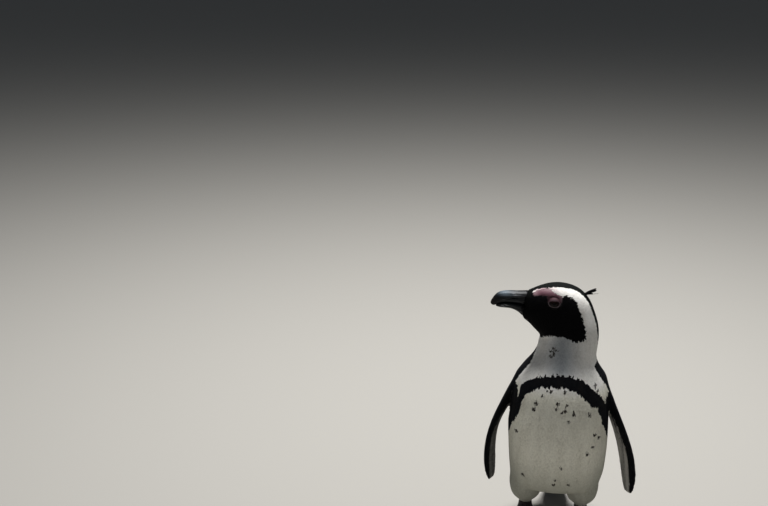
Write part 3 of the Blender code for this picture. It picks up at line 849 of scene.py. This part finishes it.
def featherShapes(top, roots, normals, ways, sizes, rise, loose):
    # 11 points for each feather: root, three stations of left edge, ridge and right edge, and tip
    length, width, thick, lift = (sizes[:, k] for k in range(1, 5))
    count = len(roots)
    shape = np.zeros((count, 11, 3))
    shape[:, 0] = roots - normals * rise[:, None]
    for k, (share, wide) in enumerate([*featherSizes["stations"], (1.0, 0)]):
        target = roots + ways * (length * share)[:, None]
        places, faces = top.nearest(target)
        n = top.normalAt(places, faces)
        drift = np.linalg.norm(places - target, axis=1)
        free = smoothStep(1.0, 2.5, drift)[:, None] * loose[:, None]
        centre = places * (1 - free) + target * free
        height = -rise * (1 - share) ** 1.25 + lift * share**2
        centre = centre + n * height[:, None]
        if share == 1.0:
            shape[:, 10] = centre
            continue
        across = unit(np.cross(n, ways)) * (width * wide / 2)[:, None]
        shape[:, 1 + 3 * k] = centre - across
        shape[:, 2 + 3 * k] = centre + n * (thick * (1.1 - share * 0.5))[:, None]
        shape[:, 3 + 3 * k] = centre + across
    shape[:, :, 2] = np.maximum(shape[:, :, 2], 0.3)
    return shape


def featherFaces(stations):
    faces = [(0, 1, 2), (0, 2, 3), (0, 3, 1)]
    for k in range(stations - 1):
        a, b = 1 + 3 * k, 4 + 3 * k
        for i, j in ((0, 1), (1, 2), (2, 0)):
            faces += [(a + i, b + i, b + j), (a + i, b + j, a + j)]
    last = 3 * stations - 2
    tip = last + 3
    faces += [(last, tip, last + 1), (last + 1, tip, last + 2), (last + 2, tip, last)]
    return np.array(faces)


def flatVane(stations):
    # the same feather laid flat, for its patch of the unwrap: across and along
    rows = [(0, 0)]
    for place, width in stations:
        rows += [(-width / 2, place), (0, place - 0.03), (width / 2, place)]
    return np.array([*rows, (0, 1)])


def makeCoat(name, tone, shape, colours, rootUvs, stations=featherSizes["stations"]):
    count, points = shape.shape[:2]
    flat = flatVane(stations)
    faces = (featherFaces(len(stations))[None] + points * np.arange(count)[:, None, None]).reshape(-1, 3)
    mesh = bpy.data.meshes.new(name)
    mesh.vertices.add(count * points)
    mesh.vertices.foreach_set("co", toRow(shape.reshape(-1, 3)).astype(np.float32).ravel())
    mesh.loops.add(faces.size)
    mesh.loops.foreach_set("vertex_index", faces.astype(np.int32).ravel())
    mesh.polygons.add(len(faces))
    mesh.polygons.foreach_set("loop_start", np.arange(0, faces.size, 3, dtype=np.int32))
    mesh.update(calc_edges=True)
    for layerName, uvs in (
        ("OFBake", np.clip(rootUvs[:, None] + (flat - [0, 0.5]) * featherSizes["uvPatch"], 0.0005, 0.9995)),
        ("vane", np.tile(flat, (count, 1, 1))),
    ):
        layer = mesh.uv_layers.new(name=layerName)
        layer.data.foreach_set("uv", uvs.reshape(-1, 2)[faces.ravel()].astype(np.float32).ravel())
    mesh.uv_layers["OFBake"].active_render = True
    mesh.uv_layers.active = mesh.uv_layers["OFBake"]
    mesh.materials.append(feathers[tone])
    mesh.shade_smooth()
    mesh.set_sharp_from_angle(angle=math.radians(38))
    piece = addObject(name, mesh)
    paint(piece, "plumage", colours.reshape(-1, 3))
    ride(piece, tone + "_plumage")
    print(name, count, "feathers,", len(faces), "triangles")


def featherMaterial(name, shine):
    # contour feathers: overlapping vanes of fine slanting barbs, nearly matt, in patches of 4 mm
    made, tree, shader = newMaterial(name, Roughness=0.75, Specular_IOR_Level=shine)
    colour = addNode(tree, "ShaderNodeAttribute", attribute_name="plumage")
    vane = addNode(tree, "ShaderNodeUVMap", uv_map="vane").outputs["UV"]
    place = addNode(tree, "ShaderNodeTexCoord").outputs["Object"]
    soft = addNode(tree, "ShaderNodeTexNoise", {"Vector": place, "Scale": 260, "Detail": 3})
    shift = addNode(tree, "ShaderNodeMapRange",
                    {"Value": soft.outputs["Fac"], "To Min": 0.86, "To Max": 1.12})
    shade = addNode(tree, "ShaderNodeVectorMath", {0: colour.outputs["Color"], 3: shift.outputs["Result"]},
                    operation="SCALE")
    tree.links.new(shade.outputs["Vector"], shader.inputs["Base Color"])
    apart = addNode(tree, "ShaderNodeSeparateXYZ", {"Vector": vane})
    side = addNode(tree, "ShaderNodeMath", {0: apart.outputs["X"]}, operation="ABSOLUTE")
    slant = addNode(tree, "ShaderNodeMath", {0: apart.outputs["Y"], 1: side.outputs[0]}, operation="SUBTRACT")
    ridge = addNode(tree, "ShaderNodeMath", {0: slant.outputs[0], 1: featherSizes["barbs"]},
                    operation="MULTIPLY")
    wave = addNode(tree, "ShaderNodeMath", {0: ridge.outputs[0]}, operation="SINE")
    bump = addNode(tree, "ShaderNodeBump", {"Height": wave.outputs[0], "Strength": 0.25, "Distance": 0.0001})
    tree.links.new(bump.outputs["Normal"], shader.inputs["Normal"])
    return made


feathers = {
    "white": featherMaterial("whiteContourFeathers", 0.3),
    "black": featherMaterial("blackContourFeathers", 0.04),
}


def spotShare(points, front):
    # how dark the single spots make a feather: 1 in the middle of a spot, 0 away from all
    share = np.zeros(len(points))
    for spotX, spotZ, radius in marks["spots"]:
        away = np.hypot(points[:, 0] - spotX, points[:, 2] - spotZ) * dice.uniform(0.9, 1.15, len(points))
        share = np.maximum(share, smoothStep(radius * 1.2 + 0.8, radius * 0.85, away))
    return share * front


def raggedEdge(points):
    # pushes the markings up and down between neighbouring feathers, so that their edges are jagged
    moved = points.copy()
    body = smoothStep(300, 270, points[:, 2])
    least, more, wavy = marks["ragged"]
    moved[:, 2] += (least + more * body) * dice.normal(size=len(points))
    moved[:, 2] += wavy * body * waves(points * [1, 1, 0.15], 3.6, 21)
    moved[:, 0] += dice.normal(size=len(points)) * least
    return moved


def isFeathered(roots, normals, nodes, kinds):
    # there are none on bare skin, the feet, the tail's end and the eyelids
    x, z = roots[:, 0] - eyePlace[0], roots[:, 2] - eyePlace[1]
    wide, above, below = featherSizes["aroundEye"]
    onLids = (np.hypot(x / wide, z / np.where(z > 0, above, below)) < 1) & (np.abs(roots[:, 1] - headY) > 15)
    tailEnd = isOn(nodes, "tail") & (roots[:, 2] <= featherSizes["tailEnd"])
    return ~((marking(roots, normals, nodes) == bare) | (kinds == bare) | (kinds == foot) | tailEnd | onLids)


def plumageColours(roots, normals, nodes, kinds, spotted):
    # a colour for each point of each feather
    mix = 0.45 + 0.2 * waves(roots * [1, 1, 0.3], 9, 31) + dice.normal(size=len(roots)) * 0.12
    streaky = greyAndShadeShare(roots, normals, nodes) + dice.normal(size=len(roots)) * 0.1
    mix = np.clip(np.where(kinds == grey, streaky, mix), 0, 1)
    colours = colourOf(kinds, mix) * soilAndShade(roots, kinds)
    (x, z), (wide, high), most = featherSizes["pinkTint"]
    pink = most * np.exp(-((roots[:, 0] - x) / wide)**2 - ((roots[:, 2] - z) / high)**2)
    for tint, share in ((colourOf(np.full(len(roots), spot), mix), spotted), (shades("#AC8C91"), pink)):
        colours = blend(colours, tint, (share * (kinds == white))[:, None])
    along = np.r_[0, np.repeat([place for place, _ in featherSizes["stations"]], 3), 1]
    fade = np.where(np.isin(kinds, (white, grey))[:, None], 0.86 + 0.14 * along**1.5, 0.8 + 0.45 * along**2)
    return colours[:, None] * fade[:, :, None]


def makeFeathers():
    roots, normals, nodes = scatter()
    sizes = featherSize(roots, nodes) * dice.uniform(0.88, 1.12, (len(roots), 1))
    ways = lie(roots, normals, nodes)
    yaw = dice.normal(size=(len(roots), 1)) * featherSizes["yaw"]
    ways = unit(ways + np.cross(normals, ways) * yaw)
    tips, faces = coatTop.nearest(roots + ways * sizes[:, 1:2] * 0.85)
    kinds = marking(raggedEdge(tips), coatTop.normalAt(tips, faces), nodes)
    spotted = spotShare(roots + ways * sizes[:, 1:2] * 0.8, tips[:, 1] < 0)
    keep = isFeathered(roots, normals, nodes, kinds)
    roots, normals, nodes, sizes, ways, kinds, spotted = (
        a[keep] for a in (roots, normals, nodes, sizes, ways, kinds, spotted))
    wing, pale = isOn(nodes, *wings), kinds == white
    places, faces = skin.nearest(roots)
    rise = np.linalg.norm(places - roots, axis=1) * 0.9
    rootUvs = skin.uvAt(places, faces)
    shape = featherShapes(coatTop, roots, normals, ways, sizes, rise, np.where(wing, 0.0, 0.7))
    colours = plumageColours(roots, normals, nodes, kinds, spotted)
    high, front, left = roots[:, 2] > featherSizes["headZone"], roots[:, 1] < 0, roots[:, 0] > 0
    zones = {
        "coatWhiteHead": ~wing & pale & high,
        "coatWhiteFront": ~wing & pale & ~high & front,
        "coatWhiteSides": ~wing & pale & ~high & ~front,
        "coatBlackHead": ~wing & ~pale & high,
        "coatBlackBand": ~wing & ~pale & ~high & front,
        "coatBlackBack": ~wing & ~pale & ~high & ~front,
        "coatWingLeft": wing & left,
        "coatWingRight": wing & ~left,
    }
    for name, chosen in zones.items():
        tone = "white" if "White" in name else "black"
        makeCoat(name, tone, shape[chosen], colours[chosen], rootUvs[chosen])


def makeFringe():
    # the smallest feathers, rooted on the base of the bill and lying back over its edge
    bill = joinedSurface(*bills)
    over = joinedSurface(coatTop, *bills)
    corners = bill.verts[bill.tris].mean(1)
    limit = follow(featherSizes["fringe"], corners[:, 2]) + waves(corners, 3, 51) * 0.6
    chosen = np.flatnonzero((corners[:, 0] > limit) & (corners[:, 0] < -56))
    chosen = dice.permutation(chosen)[:featherSizes["fringeCount"]]
    roots, normals = corners[chosen], bill.normalAt(corners[chosen], chosen)
    ways = np.array([1.0, 0, -0.12]) - normals * normals[:, :1]
    ways = unit(ways + dice.normal(size=ways.shape) * 0.12)
    sizes = np.array(featherSizes["face"]) * dice.uniform(0.85, 1.2, (len(roots), 1))
    shape = featherShapes(over, roots, normals, ways, sizes, np.full(len(roots), 0.1), np.zeros(len(roots)))
    places, faces = skin.nearest(roots)
    mix = dice.uniform(0, 1, len(roots))
    colours = np.repeat(colourOf(np.full(len(roots), jet), mix)[:, None], 11, 1)
    makeCoat("coatBillFringe", "black", shape, colours, skin.uvAt(places, faces))


makeFeathers()
makeFringe()

# The long feathers: the tail's quills and a loose tuft on the nape.
quillSizes = {
    "count": 30,
    "width": 6.0,
    "thickness": 0.6,
    "middle": ((54, 63), (70, 45), (83, 31), (95, 17), (105, 6), (109.5, 1.6)),  # y, z down the tail
    "halfWidth": (21, 22, 19, 14, 9, 5.5),
    "shorter": 0.1,  # share of the length by which the outermost falls short
    "sink": (1.5, 0.9, 0.2),  # how far the roots lie under the feathers of the back
    # shares of the length and the width
    "stations": ((0.12, 0.7), (0.3, 0.9), (0.5, 1.0), (0.68, 1.0), (0.84, 0.9), (0.95, 0.62)),
}
tuftSizes = {
    "count": 11,
    "width": 3.2,
    "thickness": 0.5,
    "root": (31, -9, 390.5),
    "tip": (47, -9, 398.5),
    "rootSpread": 0.9,
    "tipSpread": (2.4, 2.2, 1.9),
    "bow": 1.2,
}
quillPlaces = np.array([0, *(place for place, _ in quillSizes["stations"]), 1])


def bladeShapes(middles, ups, width, thick):
    # 20 points for each long feather from the middles of its root, six stations and tip
    count = len(middles)
    shape = np.zeros((count, 20, 3))
    shape[:, 0], shape[:, 19] = middles[:, 0], middles[:, 7]
    for k, (place, wide) in enumerate(quillSizes["stations"]):
        ways = unit(middles[:, k + 2] - middles[:, k])
        across = unit(np.cross(ups[:, k], ways)) * (width * wide / 2)
        shape[:, 1 + 3 * k] = middles[:, k + 1] - across
        shape[:, 2 + 3 * k] = middles[:, k + 1] + ups[:, k] * thick * (1.15 - 0.7 * place)
        shape[:, 3 + 3 * k] = middles[:, k + 1] + across
    shape[:, :, 2] = np.maximum(shape[:, :, 2], 0.3)
    return shape


def makeQuills():
    down = np.array(quillSizes["middle"], float)
    steps = np.r_[0, np.cumsum(np.linalg.norm(np.diff(down, axis=0), axis=1))]
    steps /= steps[-1]
    middles, ups = [], []
    # the quills stand round an oval, laid down from the underside up
    for turn in sorted(np.arange(quillSizes["count"]) / quillSizes["count"] * math.tau,
                       key=lambda a: math.sin(a) - 0.5 * abs(math.cos(a))):
        u, v = math.cos(turn), math.sin(turn)
        along = quillPlaces * (1 - quillSizes["shorter"] * abs(u)**1.6)
        y, z = (np.interp(along, steps, column) for column in down.T)
        x = u * (np.interp(along, steps, quillSizes["halfWidth"]) + 5)
        places, faces = coatTop.nearest(np.stack([x, y + 11 * v, z + 11 * v], 1))
        normals = coatTop.normalAt(places, faces)
        lift = 0.4 + 0.7 * max(v, 0) * (1 - abs(u)) * np.linspace(0.3, 1, 8) + dice.uniform(0, 0.2)
        lift[:3] -= quillSizes["sink"]
        middles.append(places + normals * lift[:, None])
        ups.append(normals[1:7])
    finishQuills("tailQuills", np.array(middles), np.array(ups), quillSizes)


def makeTuft():
    count = tuftSizes["count"]
    root = np.array(tuftSizes["root"]) + dice.normal(size=(count, 3)) * tuftSizes["rootSpread"]
    tip = np.array(tuftSizes["tip"]) + dice.normal(size=(count, 3)) * tuftSizes["tipSpread"]
    along = quillPlaces[None, :, None]
    middles = blend(root[:, None], tip[:, None], along)
    middles[:, :, 2] += tuftSizes["bow"] * np.sin(along[..., 0] * math.pi) * dice.uniform(-0.5, 1, (count, 1))
    turn = dice.uniform(0, math.tau, count)
    ups = np.stack([np.zeros(count), np.cos(turn), np.sin(turn)], 1)[:, None].repeat(6, 1)
    finishQuills("napeTuft", middles, ups, tuftSizes)


def finishQuills(name, middles, ups, sizes):
    shape = bladeShapes(middles, ups, sizes["width"], sizes["thickness"])
    places, faces = skin.nearest(middles[:, 0])
    mix = dice.uniform(0, 1, len(shape))
    fade = np.r_[1.0, np.tile([1.0, 1.25, 0.75, 1.25], 6)[:18], 1.5]
    colours = colourOf(np.full(len(shape), black), mix)[:, None] * fade[None, :, None]
    makeCoat(name, "black", shape, colours, skin.uvAt(places, faces), quillSizes["stations"])


makeQuills()
makeTuft()

eyeSizes = {
    "radius": 8.5,
    "iris": 5.6,
    "pupil": 3.0,
    "opening": (7.4, 3.5, 4.2),  # half width, and height above and below the middle
    "ring": (10.2, 8.8, 6.8),  # the lids' outer edge, likewise
    "rise": 0.7,  # middle of the opening over the eyeball's
    "lidThickness": 0.4,
    "rim": 0.22,  # height of the fleshy rim
    "fold": 0.1,  # height of the fold over the upper lid
    "bulge": 0.7,  # how far the clear front stands out of the ball
    "lidTurns": 96,
    "lidRings": 13,
}


def eyeMaterial():
    # a dark brown iris round a black pupil under a wet, clear surface
    made, tree, shader = newMaterial("wetEye", Roughness=0.05, IOR=1.34, Specular_IOR_Level=0.2)
    ring = addNode(tree, "ShaderNodeAttribute", attribute_name="iris")
    tree.links.new(ring.outputs["Color"], shader.inputs["Base Color"])
    return made


def lidMaterial():
    # thin grey-pink skin with fine folds, about 1 mm apart
    made, tree, shader = newMaterial("eyelidSkin", Roughness=0.7, Specular_IOR_Level=0.15)
    colour = addNode(tree, "ShaderNodeAttribute", attribute_name="lidColour")
    place = addNode(tree, "ShaderNodeTexCoord").outputs["Object"]
    folds = addNode(tree, "ShaderNodeTexNoise", {"Vector": place, "Scale": 900, "Detail": 4})
    tree.links.new(colour.outputs["Color"], shader.inputs["Base Color"])
    bump = addNode(tree, "ShaderNodeBump", {"Height": folds.outputs["Fac"], "Strength": 0.5,
                                            "Distance": 0.0003})
    tree.links.new(bump.outputs["Normal"], shader.inputs["Normal"])
    return made


def makeEyes():
    wet, lidSkin = eyeMaterial(), lidMaterial()
    for node, side, word in (("eye_left", -1, "Left"), ("eye_right", 1, "Right")):
        low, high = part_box(node)
        centre = toBird((np.array(low) + np.array(high)) / 2)
        radius = eyeSizes["radius"]
        bpy.ops.object.select_all(action="DESELECT")
        bpy.ops.mesh.primitive_uv_sphere_add(segments=48, ring_count=32, radius=radius * mm,
                                             location=toRow(centre), rotation=(math.radians(90), 0, 0))
        eye = bpy.context.object
        eye.name = "eyeball" + word
        bpy.ops.object.transform_apply(location=True, rotation=True, scale=True)
        verts = vertsOf(eye)
        fromAxis = np.hypot(verts[:, 0] - centre[0], verts[:, 2] - centre[2])
        outward = (verts[:, 1] - centre[1]) * side > 0
        front = np.clip(1 - (fromAxis / eyeSizes["iris"])**2, 0, 1)
        verts[:, 1] += side * np.where(outward, eyeSizes["bulge"] * front, 0)
        setVerts(eye, verts)
        colours = np.tile(shades("#0A0807"), (len(verts), 1))
        inIris, inPupil = (smoothStep(edge + soft, edge - soft, fromAxis) * outward
                           for edge, soft in ((eyeSizes["iris"], 0.3), (eyeSizes["pupil"], 0.2)))
        colours = blend(colours, shades("#160D09"), (inIris * (1 - inPupil))[:, None])
        paint(eye, "iris", blend(colours, shades("#020202"), inPupil[:, None]))
        eye.data.materials.append(wet)
        eye.data.shade_smooth()
        ride(eye, "eye", node)
        makeLids(centre, side, word, lidSkin)
    print("eyes")


def makeLids(centre, side, word, material):
    # a ring of skin from the opening on the eyeball out to the face, always over both of them
    turns = eyeSizes["lidTurns"]
    shares = np.linspace(0, 1, eyeSizes["lidRings"])
    angles = np.arange(turns) / turns * math.tau
    up = np.sin(angles) > 0
    rings, colours = [], []
    for t in (-0.25, *shares, 1.0):
        edge = max(t, 0)
        wide, above, below = blend(np.array(eyeSizes["opening"]), np.array(eyeSizes["ring"]), edge)
        x = np.cos(angles) * wide
        z = np.sin(angles) * np.where(up, above, below) + eyeSizes["rise"] * (1 - edge)
        reach = np.sqrt(np.maximum((eyeSizes["radius"] + eyeSizes["lidThickness"])**2 - x**2 - z**2, 0.1))
        starts = np.stack([centre[0] + x, np.full(turns, centre[1] + side * 25), centre[2] + z], 1)
        hits = [skin.tree.ray_cast(Vector(p), Vector((0, -side, 0)))[0] for p in starts.tolist()]
        face = np.array([side * (h[1] - centre[1]) for h in hits]) + 0.12
        gap = reach - face
        out = (reach + face + np.sqrt(gap**2 + 0.5)) / 2  # the further out of the two, eased
        out += (face - out) * smoothStep(0.8, 1.0, t)
        out += eyeSizes["rim"] * hump(edge, 0.42, 0.17)
        out += eyeSizes["fold"] * hump(edge, 0.75, 0.06) * up
        if t < 0:
            out = np.minimum(out - 1.2, reach - eyeSizes["lidThickness"] - 0.1)
        if len(rings) == len(shares) + 1:
            out = out - 1.5
        rings.append(np.stack([centre[0] + x, centre[1] + side * out, centre[2] + z], 1))
        upper = smoothStep(-0.2, 0.6, np.sin(angles))[:, None]
        rim = hump(edge, 0.45, 0.2)
        margin = smoothStep(0.22, 0.05, edge)
        outer = blend(shades("#08080A"), shades("#3B2227"), upper)
        ring = blend(shades("#625759"), shades("#33262A"), upper)
        colours.append(blend(blend(outer, ring, rim), shades("#120E0F"), margin))
    faces = []
    for r in range(len(rings)):
        s = (r + 1) % len(rings)
        for i in range(turns):
            j = (i + 1) % turns
            faces.append((r * turns + i, r * turns + j, s * turns + j, s * turns + i))
    mesh = bpy.data.meshes.new("eyelids" + word)
    mesh.from_pydata(toRow(np.vstack(rings)).tolist(), [], faces)
    mesh.materials.append(material)
    mesh.shade_smooth()
    lid = addObject(mesh.name, mesh)
    editAll(lid, bpy.ops.mesh.normals_make_consistent, inside=False)
    paint(lid, "lidColour", np.vstack(colours))
    ride(lid, "foot_skin")


makeEyes()


def makeClaws():
    # claw: dark horn with a grain of 1.4 mm, smooth and a little polished by the ground
    horn, tree, shader = newMaterial("clawHorn", Roughness=0.35)
    place = addNode(tree, "ShaderNodeTexCoord").outputs["Object"]
    grain = addNode(tree, "ShaderNodeTexNoise", {"Vector": place, "Scale": 700, "Detail": 3})
    ramp = addNode(tree, "ShaderNodeValToRGB", {"Fac": grain.outputs["Fac"]})
    ramp.color_ramp.elements[0].color = linear("#14110F")
    ramp.color_ramp.elements[1].color = linear("#4A403A")
    tree.links.new(ramp.outputs["Color"], shader.inputs["Base Color"])
    for node in sorted(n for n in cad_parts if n.startswith("claw_")):
        words = node.split("_")
        piece = copyOf([node], "claw" + words[1].title() + words[2].title(), 0.15)
        applyModifier(piece, "SUBSURF", levels=2, render_levels=2)
        piece.data.shade_smooth()
        piece.data.materials.append(horn)
        ride(piece, "claw_horn", node)
    print("claws")


makeClaws()

stageSizes = {
    "floor": 60.0,  # metres
    "lights": {  # place in metres, watts and width
        "keyLight": ((-0.1, 0.55, 2.7), 145, 0.9),
        "fillLight": ((-0.4, -2.8, 1.4), 3, 1.5),
    },
    "worldStrength": 0.1,
    "camera": (-3, -1698, 965),
    "lens": 54.1,
    "sensor": 36.0,
    "pitch": 17.0,
    "yaw": 9.245,
}


def makeStage():
    bpy.ops.object.select_all(action="DESELECT")
    bpy.ops.mesh.primitive_plane_add(size=stageSizes["floor"], location=(0, 0, 0))
    floor = bpy.context.object
    floor.name = "studioFloor"
    made, tree, shader = newMaterial("paleStudioFloor", Roughness=0.9)
    shader.inputs["Base Color"].default_value = linear("#9A9791")
    floor.data.materials.append(made)


def makeLights():
    world = bpy.data.worlds.new("studio")
    bpy.context.scene.world = world
    world.use_nodes = True
    background = world.node_tree.nodes["Background"]
    background.inputs["Color"].default_value = linear("#DCE6F2")
    background.inputs["Strength"].default_value = stageSizes["worldStrength"]
    for name, (place, watts, size) in stageSizes["lights"].items():
        lamp = bpy.data.lights.new(name, "AREA")
        lamp.energy, lamp.size = watts, size
        made = addObject(name, lamp)
        made.location = place
        made.rotation_euler = (Vector((0, 0, 0.2)) - Vector(place)).to_track_quat("-Z", "Y").to_euler()


def makeCamera():
    lens = bpy.data.cameras.new("camera")
    lens.lens, lens.sensor_width = stageSizes["lens"], stageSizes["sensor"]
    lens.clip_start, lens.clip_end = 0.05, 200
    camera = addObject("camera", lens)
    camera.location = toRow(stageSizes["camera"])
    camera.rotation_euler = (math.radians(90 - stageSizes["pitch"]), 0, math.radians(stageSizes["yaw"]))
    bpy.context.scene.camera = camera


makeStage()
makeLights()
makeCamera()
bpy.context.scene.view_settings.view_transform = "Standard"
print("floor, lights and camera")
